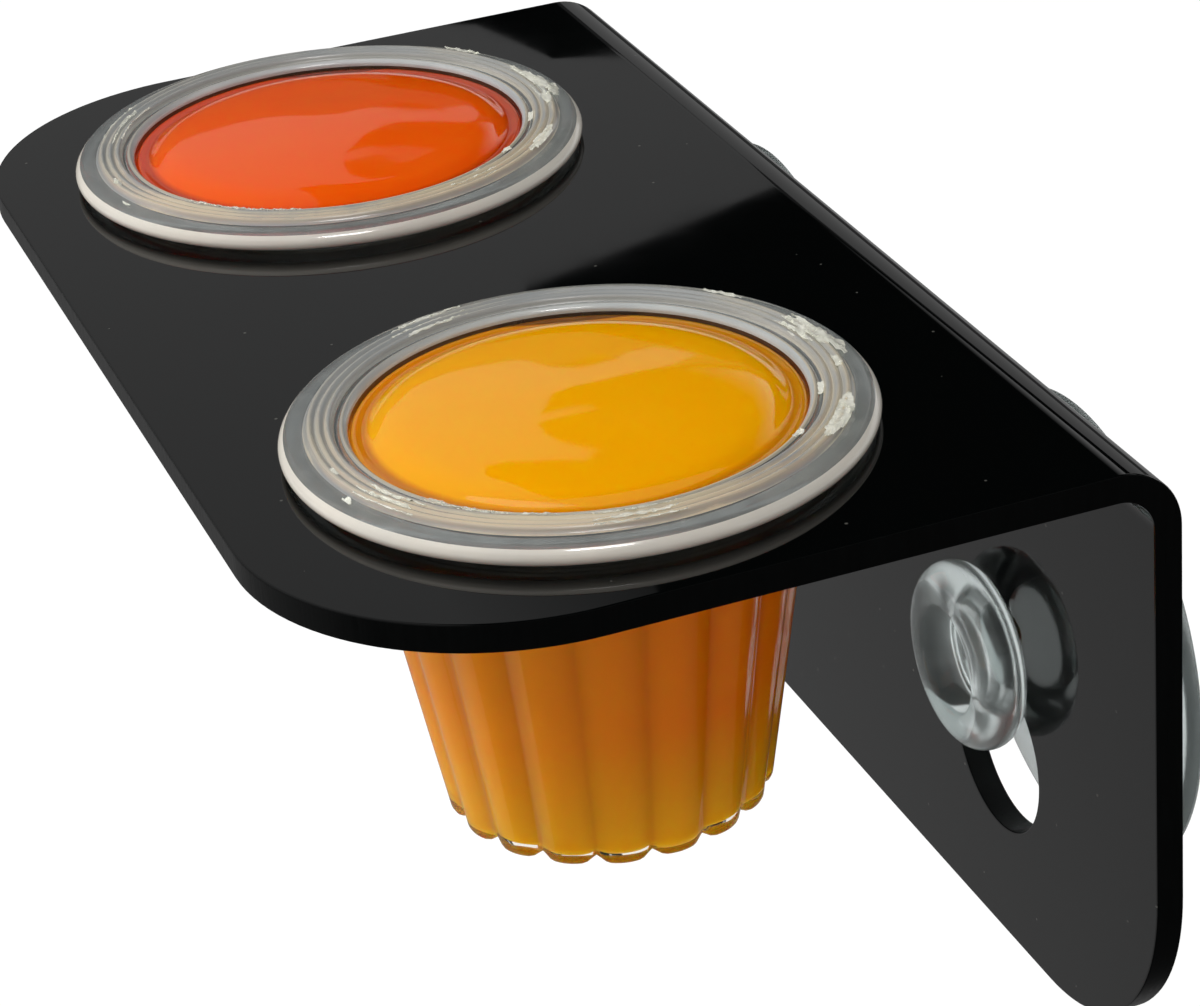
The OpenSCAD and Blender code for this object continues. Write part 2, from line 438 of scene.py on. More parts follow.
def glued_ridges(tint, residue, axis, side):
    """The sealing ridges: hazy plastic with rings of dried, yellowed adhesive."""
    material, tree, place = start_material("ridges_with_dried_adhesive_" + side)
    # Patches about 6 mm long let the rings come and go, and wander by up to 0.5 mm
    noise = add(tree, "TexNoise", {"Vector": place, "Scale": 1 / (6 * MM), "Detail": 4})
    patch = noise.outputs["Fac"]
    wander = add(
        tree, "Math", {0: patch, 1: 0.5 * MM, 2: off_axis(tree, place, axis)}, operation="MULTIPLY_ADD"
    )
    # Rings 0.55 mm apart
    turns = add(
        tree, "Math", {0: wander.outputs["Value"], 1: 2 * math.pi / (0.55 * MM)}, operation="MULTIPLY"
    )
    wave = add(tree, "Math", {0: turns.outputs["Value"]}, operation="SINE")
    ringed = add(tree, "Math", {0: wave.outputs["Value"], 1: 0.26, 2: patch}, operation="MULTIPLY_ADD")
    shown = ringed.outputs["Value"]
    # The rings of adhesive show more strongly towards +X and more faintly towards -X
    across = add(tree, "SeparateXYZ", {"Vector": place}).outputs["X"]
    towards_x = {"From Min": axis.x - 12 * MM, "From Max": axis.x + 14 * MM, "To Min": 0.35, "To Max": 1.25}
    x_share = add(tree, "MapRange", {"Value": across, **towards_x})
    share = add(tree, "Math", {0: shown, 1: x_share.outputs["Result"]}, operation="MULTIPLY")
    mixed = add(
        tree, "Mix", {"Factor": share.outputs["Value"], "A": tint, "B": residue}, data_type="RGBA"
    )
    return finish_material(material, {
        "Base Color": mixed.outputs["Result"], "IOR": 1.49, "Transmission Weight": 0.15,
        **relief(tree, shown, rough=(0.1, 0.4), strength=0.4, depth=0.04 * MM),
    }, lamps_pass=True)


# Direction from a cup's axis in which its syrup stands in a painted shadow, in the gap at the wall
SYRUP_AND_SHADE_ANGLE = math.radians(162)


def fruit_jelly(name, wet, axis, top, body, foot, paler, lit, edge, syrup):
    """Set fruit jelly: light soaks in, paler on top and browner under the tray, which is painted shade.

    The open top is wet with syrup. The side clings to the wall, so it has hardly any gloss of its own.
    """
    material, tree, place = start_material(name + ("_fruit_jelly_top" if wet else "_fruit_jelly_side"))
    spot = add(tree, "SeparateXYZ", {"Vector": place}).outputs
    # Clouds of pulp about 7 mm across
    noise = add(tree, "TexNoise", {"Vector": place, "Scale": 1 / (7 * MM), "Detail": 3})
    pulp = noise.outputs["Fac"]
    toward = Vector((math.cos(SYRUP_AND_SHADE_ANGLE), math.sin(SYRUP_AND_SHADE_ANGLE), 0))
    reach = add(tree, "VectorMath", {0: place, 1: toward}, operation="DOT_PRODUCT")
    centre = axis.dot(toward)
    # Shares that rise from nothing, where a value starts, to their most, where it ends
    share = {}
    for key, value, start, end, most in (
        ("height", spot["Z"], TRAY_TOP - 25 * MM, TRAY_TOP + 3 * MM, 1),
        ("clouds", pulp, 0.5, 0.8, 0.22),
        ("front", spot["Y"], -32 * MM, -50 * MM, 0.6),
        ("below", spot["Z"], TRAY_TOP, TRAY_TOP - 3 * MM, 1),
        ("outer", off_axis(tree, place, axis), 13.5 * MM, 13.95 * MM, 0.85),
        ("above", spot["Z"], TRAY_TOP + 0.3 * MM, TRAY_TOP + 0.7 * MM, 1),
        ("gap", reach.outputs["Value"], centre + 13.9 * MM, centre + 14.1 * MM, 0.85),
    ):
        risen = {"Value": value, "From Min": start, "From Max": end, "To Max": most}
        share[key] = add(tree, "MapRange", risen).outputs["Result"]
    # From the foot, past the browner body in painted shade, to the top, the levels shifted by the pulp
    shifted = add(tree, "Math", {0: pulp, 1: 0.16, 2: share["height"]}, operation="MULTIPLY_ADD")
    ramp = add(tree, "ValToRGB", {"Fac": shifted.outputs["Value"]})
    stops = ramp.color_ramp.elements
    stops[0].position, stops[0].color = 0.05, foot
    stops[1].position, stops[1].color = 1.0, top
    for position in (0.4, 0.9):
        stops.new(position).color = body
    clouded = add(
        tree, "Mix", {"Factor": share["clouds"], "A": ramp.outputs["Color"], "B": paler},
        data_type="RGBA",
    )
    tone = clouded.outputs["Result"]
    # Below the tray, the side towards the front is lighter, by painted light. On top, the thin edge
    # along the wall is deeper in colour, by painted shade, and dark syrup, partly a painted shadow,
    # stands where the jelly has drawn back from the wall.
    layers = (("front", "below", lit), ("outer", "above", edge), ("gap", "above", syrup))
    for key, limit, shade in layers:
        both = add(tree, "Math", {0: share[key], 1: share[limit]}, operation="MULTIPLY")
        layered = add(
            tree, "Mix", {"Factor": both.outputs["Value"], "A": tone, "B": shade}, data_type="RGBA"
        )
        tone = layered.outputs["Result"]
    rough = add(tree, "MapRange", {"Value": pulp, "To Min": 0.03, "To Max": 0.09})
    # Soft unevenness left by the lid film, about 4 mm from crest to crest
    skin = add(tree, "TexNoise", {"Vector": place, "Scale": 1 / (4 * MM), "Detail": 2})
    bump = add(tree, "Bump", {"Height": skin.outputs["Fac"], "Strength": 0.25, "Distance": 0.05 * MM})
    gloss = {"Specular IOR Level": 0.05}
    if wet:
        gloss = {"Coat Weight": 0.6, "Coat Roughness": 0.04, "Coat IOR": 1.45}
    return finish_material(material, {
        "Base Color": tone, "Roughness": rough.outputs["Result"], "Normal": bump.outputs["Normal"],
        "Subsurface Weight": 1.0, "Subsurface Radius": (1.0, 0.45, 0.12), "Subsurface Scale": 3.5 * MM,
        "IOR": 1.4, **gloss,
    })


def torn_film(tint):
    """Lid film with dried adhesive: thin, off-white and crinkled, half see-through."""
    material, tree, place = start_material("torn_lid_film")
    # Crinkles about 0.8 mm apart
    noise = add(tree, "TexNoise", {"Vector": place, "Scale": 1 / (0.8 * MM), "Detail": 3})
    crinkle = noise.outputs["Fac"]
    mixed = add(tree, "Mix", {"Factor": crinkle, "A": tint, "B": linear("#dcdccb")}, data_type="RGBA")
    return finish_material(material, {
        "Base Color": mixed.outputs["Result"], "IOR": 1.45, "Transmission Weight": 0.55,
        **relief(tree, crinkle, rough=(0.08, 0.4), strength=0.6, depth=0.2 * MM),
    }, lamps_pass=True)


def hole_cutter(name, radius, depth, place, vertices, turn=0.0):
    """A cylinder as a cutter, upright or turned about X."""
    begin()
    bpy.ops.mesh.primitive_cylinder_add(
        vertices=vertices, radius=radius, depth=depth, location=place, rotation=(turn, 0, 0)
    )
    return settle(name)


# A face whose normal has less than this share across the sheet is a cut edge
SURFACE_SHARE = 0.8


class FRUIT_HOLDER_OT_bracket(Operator):
    """Fold the acrylic sheet, round its corners and cut its cup holes and keyholes"""

    bl_idname = "fruit_holder.bracket"
    bl_label = "Bracket"

    def execute(self, context):
        sizes = context.scene.fruit_bracket
        low, high = BRACKET_LOW, BRACKET_HIGH
        begin()
        bpy.ops.mesh.primitive_plane_add(
            size=1, location=((low.x + high.x) / 2, (low.y + high.y) / 2, high.z)
        )
        context.object.scale = (high.x - low.x, high.y - low.y, 1)
        sheet = settle("bracket_sheet")
        edit(sheet)
        pick(sheet, "EDGE", lambda p: p.y > high.y - TINY)
        bpy.ops.mesh.extrude_edges_move(TRANSFORM_OT_translate=move(z=low.z - high.z))
        pick(sheet, "EDGE", lambda p: p.y > high.y - TINY and p.z > high.z - TINY)
        bpy.ops.mesh.bevel(offset=sizes.bend_radius, segments=16, profile=0.5, affect="EDGES")
        pick(sheet, "VERT", lambda p: p.y < low.y + TINY)
        bpy.ops.mesh.bevel(offset=sizes.tray_corner, segments=28, profile=0.5, affect="VERTICES")
        pick(sheet, "VERT", lambda p: p.z < low.z + TINY)
        bpy.ops.mesh.bevel(offset=sizes.wall_corner, segments=28, profile=0.5, affect="VERTICES")
        bpy.ops.mesh.select_all(action="SELECT")
        bpy.ops.mesh.normals_make_consistent(inside=False)
        faces = bmesh.from_edit_mesh(sheet.data).faces
        if max(faces, key=lambda f: f.calc_center_median().z).normal.z < 0:
            bpy.ops.mesh.flip_normals()
        leave_edit()
        modify(sheet, "SOLIDIFY", thickness=sizes.sheet, offset=-1, use_even_offset=True)
        depth, forwards = 4 * sizes.sheet, math.pi / 2
        tray_middle, wall_middle = high.z - sizes.sheet / 2, high.y - sizes.sheet / 2
        for side in SIDES:
            cup, seat = axis_of("fruit_cup_" + side), axis_of("suction_cup_" + side)
            place = (cup.x, cup.y, tray_middle)
            cut(sheet, hole_cutter("cup_hole_cutter", sizes.cup_hole, depth, place, vertices=160))
            place = (seat.x, wall_middle, seat.z - sizes.travel)
            wide_hole = hole_cutter(
                "wide_hole_cutter", sizes.wide_hole, depth, place, vertices=96, turn=forwards
            )
            cut(sheet, wide_hole)
            place = (seat.x, wall_middle, seat.z)
            slot = hole_cutter("slot_cutter", sizes.slot, depth, place, vertices=64, turn=forwards)
            edit(slot)
            pick(slot, "VERT", lambda p: p.z < seat.z - TINY)
            bpy.ops.transform.translate(value=(0, 0, -sizes.travel))
            leave_edit()
            cut(sheet, slot)
        modify(
            sheet, "BEVEL", width=sizes.edge_break, segments=2, limit_method="ANGLE",
            angle_limit=math.radians(50), use_clamp_overlap=False, face_strength_mode="FSTR_ALL",
        )
        smooth(sheet, 40)
        modify(sheet, "WEIGHTED_NORMAL", keep_sharp=True, use_face_influence=True)
        hand_over(
            sheet, "bracket", "bracket", "black_acrylic",
            polished_acrylic(sizes.acrylic), cut_acrylic(sizes.acrylic),
        )
        bend_y, bend_z = high.y - sizes.bend_radius, high.z - sizes.bend_radius
        for face in sheet.data.polygons:
            middle, across = face.center, face.normal.z
            if middle.y > bend_y:
                across = face.normal.y
            if middle.y > bend_y and middle.z > bend_z:
                across = math.hypot(face.normal.y, face.normal.z)
            face.material_index = 1 if abs(across) < SURFACE_SHARE else 0
        return {"FINISHED"}


def dome(radius, rise, base, count):
    """Points of a shallow dome's section from its top out to its edge, as radius and height."""
    ball = (radius * radius + rise * rise) / (2 * rise)
    steps = [radius * i / count for i in range(count + 1)]
    return [(r, base + rise - ball + math.sqrt(ball * ball - r * r)) for r in steps]


def suction_section(disc, hollow):
    """Half section of a suction cup as (radius, height over the glass), in millimetres."""
    hollow_rise, disc_rise, skirt, boss = 2.8, 3.6, 0.8, 5.9
    head_ring, head_round, head_height = 5.05, 1.85, 9
    # Hollow, lip and the disc's outside
    points = dome(hollow, hollow_rise, 0, 14)
    points += [(disc - 0.3, 0), (disc - 0.08, 0.08), (disc, 0.3), (disc, 0.6), (disc - 0.08, 0.85)]
    points += [p for p in reversed(dome(disc, disc_rise, skirt, 20)) if boss < p[0] < disc - 0.4]
    # Boss and neck
    points += [(5.5, 4.1), (5.2, 4.16), (5.03, 4.3), (5, 4.5), (4.92, 4.76), (4.7, 4.85)]
    points += [(3.3, 4.85), (3.08, 4.93), (3, 5.15), (3, 6.85), (3.08, 7.07), (3.3, 7.15)]
    # Round head and the dimple in its end
    turns = [math.radians(90 - 12 * i) for i in range(16)]
    points += [
        (head_ring + head_round * math.cos(a), head_height - head_round * math.sin(a)) for a in turns
    ]
    points += [(4.5, 10.86), (4.22, 10.84), (4.04, 10.74), (3.93, 10.56), (3.84, 10.3), (3.66, 9.9)]
    points += [(3.46, 9.5), (3.3, 9.2), (3.24, 8.85), (3.1, 8.62), (2.85, 8.5), (2.4, 8.46), (0, 8.45)]
    return points


class FRUIT_HOLDER_OT_suction_cups(Operator):
    """Trace the suction cup's section, spin it and set one in each keyhole"""

    bl_idname = "fruit_holder.suction_cups"
    bl_label = "Suction cups"

    def execute(self, context):
        sizes = context.scene.fruit_suction
        middle = axis_of("suction_cup_left")
        section = [
            Vector((middle.x + r * MM, -h * MM, middle.z))
            for r, h in suction_section(sizes.disc / MM, sizes.hollow / MM)
        ]
        begin()
        bpy.ops.mesh.primitive_plane_add(size=MM, location=section[0])
        cup = settle("clear_suction_cup_left")
        edit(cup)
        bpy.ops.mesh.merge(type="CENTER")
        for start, end in zip(section, section[1:]):
            bpy.ops.mesh.extrude_vertices_move(TRANSFORM_OT_translate={"value": end - start})
        bpy.ops.mesh.select_all(action="SELECT")
        bpy.ops.mesh.spin(steps=112, angle=2 * math.pi, center=(middle.x, 0, middle.z), axis=(0, 1, 0))
        close_up()
        leave_edit()
        smooth(cup, 60)
        material = clear_pvc(sizes.pvc)
        for side, piece in both_sides(cup, "clear_suction_cup_", "suction_cup_"):
            hand_over(piece, "suction_cups", "suction_cup_" + side, "clear_pvc", material)
        return {"FINISHED"}


# Places across one flute at which a ring of the cup has a vertex, from crest to groove and back
FLUTE_STEPS = 12
# Share of a groove's depth that is eased, as a formed sheet never follows the mould into a sharp corner
GROOVE_EASE = 0.2


def flute_place(point, axis, sizes):
    """How far a vertex lies from its flute's crest, from 0 at the crest to half of FLUTE_STEPS."""
    step = 2 * math.pi / (sizes.flutes * FLUTE_STEPS)
    place = round((math.atan2(point.y - axis.y, point.x - axis.x) - sizes.turn) / step) % FLUTE_STEPS
    return min(place, FLUTE_STEPS - place)


def flute_depths(sizes):
    """How far a scalloped section falls inside its crest circle, as a share, at each place."""
    centre = sizes.body - sizes.flute_radius
    depths = []
    for place in range(FLUTE_STEPS // 2 + 1):
        angle = 2 * math.pi * place / (sizes.flutes * FLUTE_STEPS)
        reach = math.sqrt(sizes.flute_radius ** 2 - (centre * math.sin(angle)) ** 2)
        sharp = 1 - (centre * math.cos(angle) + reach) / sizes.body
        depths.append(sharp * (1 - GROOVE_EASE * (2 * place / FLUTE_STEPS) ** 4))
    return depths


def start_ring(name, axis, row, vertices, turn=0.0):
    """An open ring at the first row of a swept piece, in edit mode."""
    begin()
    bpy.ops.mesh.primitive_circle_add(
        vertices=vertices, radius=row[0] * MM, fill_type="NOTHING",
        location=(axis.x, axis.y, TRAY_TOP + row[1] * MM), rotation=(0, 0, turn),
    )
    piece = settle(name)
    edit(piece)
    return piece


def select_ring(piece, wanted):
    """Selects the vertices with these numbers, and the edges between them."""
    bpy.ops.mesh.select_mode(type="VERT")
    bpy.ops.mesh.select_all(action="DESELECT")
    mesh = bmesh.from_edit_mesh(piece.data)
    mesh.verts.ensure_lookup_table()
    for index in wanted:
        mesh.verts[index].select_set(True)
    mesh.select_flush(True)
    bmesh.update_edit_mesh(piece.data)


def sweep(piece, axis, rows, sizes):
    """Extrudes the open ring of a piece through rows of (radius, height, fluting), in millimetres.

    Fluting is 0 on a round ring and 1 on one with the cup's full scallops.
    """
    depths = flute_depths(sizes)
    pick(piece, "EDGE", lambda p: True)
    for (r0, z0, f0), (r1, z1, f1) in zip(rows, rows[1:]):
        bpy.ops.mesh.extrude_edges_move(TRANSFORM_OT_translate=move(z=(z1 - z0) * MM))
        centre = (axis.x, axis.y, TRAY_TOP + z1 * MM)
        factors = [r1 * (1 - f1 * d) / (r0 * (1 - f0 * d)) for d in depths]
        if max(factors) - min(factors) < EVEN:
            bpy.ops.transform.resize(value=(factors[0], factors[0], 1), center_override=centre)
            continue
        mesh = bmesh.from_edit_mesh(piece.data)
        ring = [(v.index, flute_place(v.co, axis, sizes)) for v in mesh.verts if v.select]
        for place, factor in enumerate(factors):
            select_ring(piece, {index for index, at in ring if at == place})
            bpy.ops.transform.resize(value=(factor, factor, 1), center_override=centre)
        select_ring(piece, {index for index, _ in ring})


def cap_ends(piece, rows):
    """Closes the first and the last ring of a swept piece with a fan of flat faces."""
    for row in (rows[0], rows[-1]):
        height = TRAY_TOP + row[1] * MM
        choose(
            piece, "EDGE",
            lambda e: e.is_boundary and all(abs(v.co.z - height) < TINY for v in e.verts),
        )
        bpy.ops.mesh.edge_face_add()
        bpy.ops.mesh.poke()


def round_rings(*rings):
    """Rows of rings without flutes, from (radius, height)."""
    return tuple((radius, height, 0) for radius, height in rings)


# Section of the fruit cup, as rows of (radius, height over the tray, fluting) in millimetres
CUP_ROWS = (
    # From the middle of the underside, out of the round recess
    *round_rings((1.0, -25.5), (8.3, -25.5), (8.7, -25.56), (8.86, -25.75), (8.95, -26.2)),
    # Over the feet and up the fluted side
    (9.2, -26.44, 0.2), (9.8, -26.5, 0.6), (10.5, -26.5, 0.9), (10.85, -26.47, 1), (11.02, -26.38, 1),
    (11.12, -26.2, 1), (11.18, -25.9, 1), (11.26, -25.4, 1), (12.16, -20, 1), (12.97, -15, 1),
    (13.78, -10, 1), (14.59, -5, 1), (15.32, -0.5, 1), (15.4, -0.04, 1), (15.75, 0, 0.5),
    *round_rings(
        # Under the rim, round the rolled lip and over the flat rim
        (16.65, 0), (16.86, 0.05), (16.9, 0.2), (16.94, 0.36), (17.1, 0.45), (19.0, 0.45), (19.3, 0.5),
        (19.47, 0.62), (19.56, 0.8), (19.58, 0.98), (19.52, 1.16), (19.38, 1.36), (19.18, 1.58),
        (19.0, 1.72), (18.8, 1.79), (18.2, 1.8), (17.9, 1.81),
        # Over three sealing ridges
        (17.76, 1.9), (17.66, 2.08), (17.56, 2.24), (17.42, 2.3), (17.3, 2.27), (17.2, 2.16),
        (17.1, 2.12), (17.0, 2.18), (16.9, 2.28), (16.77, 2.3), (16.65, 2.24), (16.55, 2.14),
        (16.45, 2.12), (16.36, 2.2), (16.25, 2.29), (16.12, 2.29), (16.02, 2.2),
        (15.94, 2.02), (15.86, 1.86),
        # Over the bead at the mouth and down into it
        (15.74, 1.8), (15.58, 1.81), (15.5, 1.9), (15.43, 2.0), (15.34, 2.03), (15.26, 2.0),
        (15.03, 1.77), (14.99, 1.68), (14.985, 1.5), (14.98, 0.98), (14.98, 0.75),
    ),
    # Down the inside to the middle of the floor
    (14.94, 0.55, 0.3), (14.86, 0.4, 1.2), (14.02, -5, 1.23), (13.24, -10, 1.23), (12.47, -15, 1.23),
    (11.69, -20, 1.23), (11.1, -23.8, 1.23), (10.92, -24.4, 1.2), (10.5, -24.78, 1.1), (9.7, -24.9, 0.6),
    *round_rings((8.6, -24.9), (1.0, -24.9)),
)

# Section of the jelly. Its side lies 0.06 mm into the cup's wall, so that no air shows between the
# two, and it reaches down into the feet, which are then filled foot by foot.
JELLY_ROWS = (
    *round_rings((1.0, -25.1), (8.8, -25.1)),
    (9.2, -25.5, 0.2), (9.6, -26.0, 0.7), (10.1, -26.25, 1), (10.5, -26.15, 1.1), (10.8, -25.7, 1.2),
    (11.0, -24.4, 1.23), (11.14, -23.82, 1.23), (11.75, -20, 1.23), (12.53, -15, 1.23),
    (13.3, -10, 1.23), (14.08, -5, 1.23), (14.92, 0.36, 1.2), (15.0, 0.55, 0.3),
    *round_rings(
        # The edge, its moat and the dome
        (15.02, 0.94), (14.94, 1.0), (14.86, 1.12), (14.8, 1.28), (14.7, 1.35), (14.45, 1.33),
        (14.2, 1.29), (13.95, 1.28), (13.72, 1.34), (13.45, 1.49), (13.15, 1.65), (12.85, 1.79),
        (12.4, 1.96), (11.4, 2.14), (10.0, 2.31), (8.4, 2.47), (6.6, 2.61), (4.8, 2.72), (3.0, 2.79),
        (1.0, 2.83),
    ),
)

# Levels below which a vertex belongs to the feet of a cup and of a jelly
CUP_FEET = TRAY_TOP - 25.85 * MM
JELLY_FEET = TRAY_TOP - 25.25 * MM
# Circle on which the feet stand, and how far one reaches from its middle
FOOT_CIRCLE = 10.3 * MM
FOOT_REACH = 1.7 * MM
# How far the feet rise towards a groove, in millimetres, by their place across the flute
FOOT_RISES = {4: 0.08, 5: 0.3, 6: 0.5}
# How much of a foot the jelly leaves clear at most
FOOT_CLEAR = 0.7


def scallop_feet(piece, axis, sizes, level):
    """Lifts the lowest rows of a cup or jelly at its grooves, so that it stands on separate feet."""
    for place, rise in FOOT_RISES.items():
        pick(piece, "VERT", lambda p: p.z < level and flute_place(p, axis, sizes) == place)
        bpy.ops.transform.translate(value=(0, 0, rise * MM))


# Materials of a cup, in the order of their slots; the last is a painted shadow along the jelly's edge
WALL, RIM, RIDGES, LIP, MOUTH, MENISCUS_SHADOW = range(6)


def cup_zone(place, height):
    """Material of a cup's face, from its place off the axis and its height over the tray."""
    radius = place.xy.length
    lip_start, mouth_end, mouth_foot = 19.2 * MM, 15.5 * MM, 0.7 * MM
    ridges_start, ridges_end, ridges_foot = 15.9 * MM, 17.88 * MM, 1.815 * MM
    bead_start, bead_foot = 15.26 * MM, 1.88 * MM
    # Heights of the band of mouth wall that holds the painted shadow along the jelly's edge
    shadow_foot, shadow_top = 0.98 * MM, 1.5 * MM
    if height < TINY:
        return WALL
    if ridges_start < radius < ridges_end and height > ridges_foot:
        return RIDGES
    if radius > lip_start:
        return LIP
    if bead_start < radius < ridges_start and height > bead_foot:
        return RIDGES
    if radius < mouth_end and height > mouth_foot:
        return MENISCUS_SHADOW if shadow_foot < height < shadow_top else MOUTH
    return RIM


class FRUIT_HOLDER_OT_fruit_cups(Operator):
    """Sweep a fluted ring into a thin cup with feet and a ridged rim, and set one in each hole"""

    bl_idname = "fruit_holder.fruit_cups"
    bl_label = "Fruit cups"

    def execute(self, context):
        sizes = context.scene.fruit_cups
        axis = axis_of("fruit_cup_left")
        vertices = sizes.flutes * FLUTE_STEPS
        cup = start_ring("fluted_cup_left", axis, CUP_ROWS[0], vertices, sizes.turn)
        sweep(cup, axis, CUP_ROWS, sizes)
        cap_ends(cup, CUP_ROWS)
        close_up()
        scallop_feet(cup, axis, sizes, CUP_FEET)
        leave_edit()
        smooth(cup, 50)
        wall, rim = clear_wall(sizes.clear), cloudy_rim(sizes.rim)
        lip = waxy_plastic("lip", sizes.lip, linear("#d6d2c9"), clearness=0.1)
        mouth = waxy_plastic("mouth", sizes.mouth, linear("#d4d8d6"), clearness=0.3)
        # The band along the jelly's edge is painted shade: a dark tint on the wall for the shadow under
        # the meniscus, which reads as a dark outline
        wet_line = waxy_plastic("wet_line", linear("#2c2118"), linear("#4a382a"), clearness=0.2)
        for side, piece in both_sides(cup, "fluted_cup_", "fruit_cup_"):
            axis = axis_of("fruit_cup_" + side)
            ridges = glued_ridges(sizes.ridges, sizes.residue, axis, side)
            hand_over(
                piece, "cup_" + side, "fruit_cup_" + side, "clear_cup",
                wall, rim, ridges, lip, mouth, wet_line,
            )
            for face in piece.data.polygons:
                face.material_index = cup_zone(face.center - axis, face.center.z - TRAY_TOP)
        return {"FINISHED"}


JELLY_COLOURS = {"left": "red", "right": "orange"}
# Dents in a jelly's top, in millimetres: their number, the range of their places off the axis and of
# their depths, the reach of a dent's middle and of its slope, and the height that keeps to the top
DENTS = 7
DENT_PLACES = (2, 10)
DENT_DEPTHS = (0.01, 0.07)
DENT_MIDDLE, DENT_SLOPE = 1.2, 5
DENT_LEVEL = 2
# Height over the tray from which the jelly is wet, in millimetres
WET_LEVEL = 0.6


class FRUIT_HOLDER_OT_jellies(Operator):
    """Sweep the jelly that fills each cup, with a domed and slightly uneven top"""

    bl_idname = "fruit_holder.jellies"
    bl_label = "Jellies"

    def execute(self, context):
        sizes, looks = context.scene.fruit_cups, context.scene.fruit_jellies
        dents, feet = random.Random(11), random.Random(5)
        vertices = sizes.flutes * FLUTE_STEPS
        for side in SIDES:
            axis = axis_of("fruit_cup_" + side)
            jelly = start_ring("set_jelly_" + side, axis, JELLY_ROWS[0], vertices, sizes.turn)
            sweep(jelly, axis, JELLY_ROWS, sizes)
            cap_ends(jelly, JELLY_ROWS)
            close_up()
            scallop_feet(jelly, axis, sizes, JELLY_FEET)
            for flute in range(sizes.flutes):
                # The jelly seldom fills a foot, and the rest of the foot stays clear
                crest = sizes.turn + 2 * math.pi * flute / sizes.flutes
                foot = axis.xy + FOOT_CIRCLE * Vector((math.cos(crest), math.sin(crest)))
                pick(jelly, "VERT", lambda p: p.z < JELLY_FEET and (p.xy - foot).length < FOOT_REACH)
                bpy.ops.transform.resize(
                    value=(1, 1, 1 - feet.uniform(0, FOOT_CLEAR)),
                    center_override=(axis.x, axis.y, JELLY_FEET),
                )
            for _ in range(DENTS):
                angle, reach = dents.uniform(0, 2 * math.pi), dents.uniform(*DENT_PLACES) * MM
                spot = axis.xy + reach * Vector((math.cos(angle), math.sin(angle)))
                top = TRAY_TOP + DENT_LEVEL * MM
                pick(jelly, "VERT", lambda p: p.z > top and (p.xy - spot).length < DENT_MIDDLE * MM)
                bpy.ops.transform.translate(
                    value=(0, 0, -dents.uniform(*DENT_DEPTHS) * MM), use_proportional_edit=True,
                    proportional_edit_falloff="SMOOTH", proportional_size=DENT_SLOPE * MM,
                )
            leave_edit()
            smooth(jelly, 50)
            parts = ("_top", "_body", "_foot", "_pale", "_lit", "_edge", "_syrup")
            shades = [getattr(looks, side + part) for part in parts]
            name = JELLY_COLOURS[side]
            wet, dry = (fruit_jelly(name, open_top, axis, *shades) for open_top in (True, False))
            hand_over(jelly, "cup_" + side, "jelly_" + side, name + "_jelly", wet, dry)
            for face in jelly.data.polygons:
                face.material_index = 0 if face.center.z > TRAY_TOP + WET_LEVEL * MM else 1
        return {"FINISHED"}


# Rows of the lid film, from the mouth, over the ridges, down to the lip
FILM_ROWS = round_rings(
    (15.2, 2.06), (15.45, 2.1), (15.7, 2.2), (15.95, 2.31), (16.15, 2.33), (16.35, 2.33),
    (16.55, 2.33), (16.75, 2.33), (16.95, 2.33), (17.15, 2.33), (17.35, 2.33), (17.55, 2.33),
    (17.75, 2.33), (17.95, 2.31), (18.15, 2.2), (18.35, 2.0), (18.6, 1.86), (18.85, 1.83),
)
# Loose flakes as (angle in degrees, its half width, radius, its half width)
FILM_FLAKES = (
    (52, 10, 17.5, 0.6), (67, 4, 15.7, 0.3), (88, 7, 18.0, 0.5), (79, 4, 17.2, 0.4),
    (97, 9, 17.3, 0.35), (89, 2, 18.5, 0.3), (-42, 9, 15.8, 0.35), (-30, 6, 15.6, 0.25),
    (-54, 5, 15.6, 0.3), (-72, 2, 18.4, 0.15), (-83, 3, 17.4, 0.3), (125, 6, 17.8, 0.3),
    (43, 2, 15.4, 0.5),
)
# Band of the ridges on which shreds are left, in millimetres, and the sum of waves that leaves one
SHRED_BAND = (15.95, 17.95)
SHRED_LEVEL = 2.5
# The shreds' own wave: its height, and how fast it runs per millimetre outwards and round the rim
SHRED_WAVE, SHRED_OUTWARDS, SHRED_AROUND = 1.6, 9, 2
# How far the waves change a flake's outline
FLAKE_RAGGED = 0.25
# How many waves round the rim make its tears
TEAR_WAVES = 9


def film_left(place, waves):
    """Whether the film is still there at a place given from the cup's axis."""
    angle, reach = math.atan2(place.y, place.x), place.xy.length / MM
    ragged = sum(size * math.sin(n * angle + shift) for n, shift, size in waves)
    shred = ragged + SHRED_WAVE * math.sin(SHRED_OUTWARDS * reach + SHRED_AROUND * angle)
    if SHRED_BAND[0] < reach < SHRED_BAND[1] and shred > SHRED_LEVEL:
        return True
    for middle, spread, radius, width in FILM_FLAKES:
        around = (math.degrees(angle) - middle) / spread
        across = (reach - radius) / width
        if around ** 2 + across ** 2 < 1 + FLAKE_RAGGED * ragged:
            return True
    return False


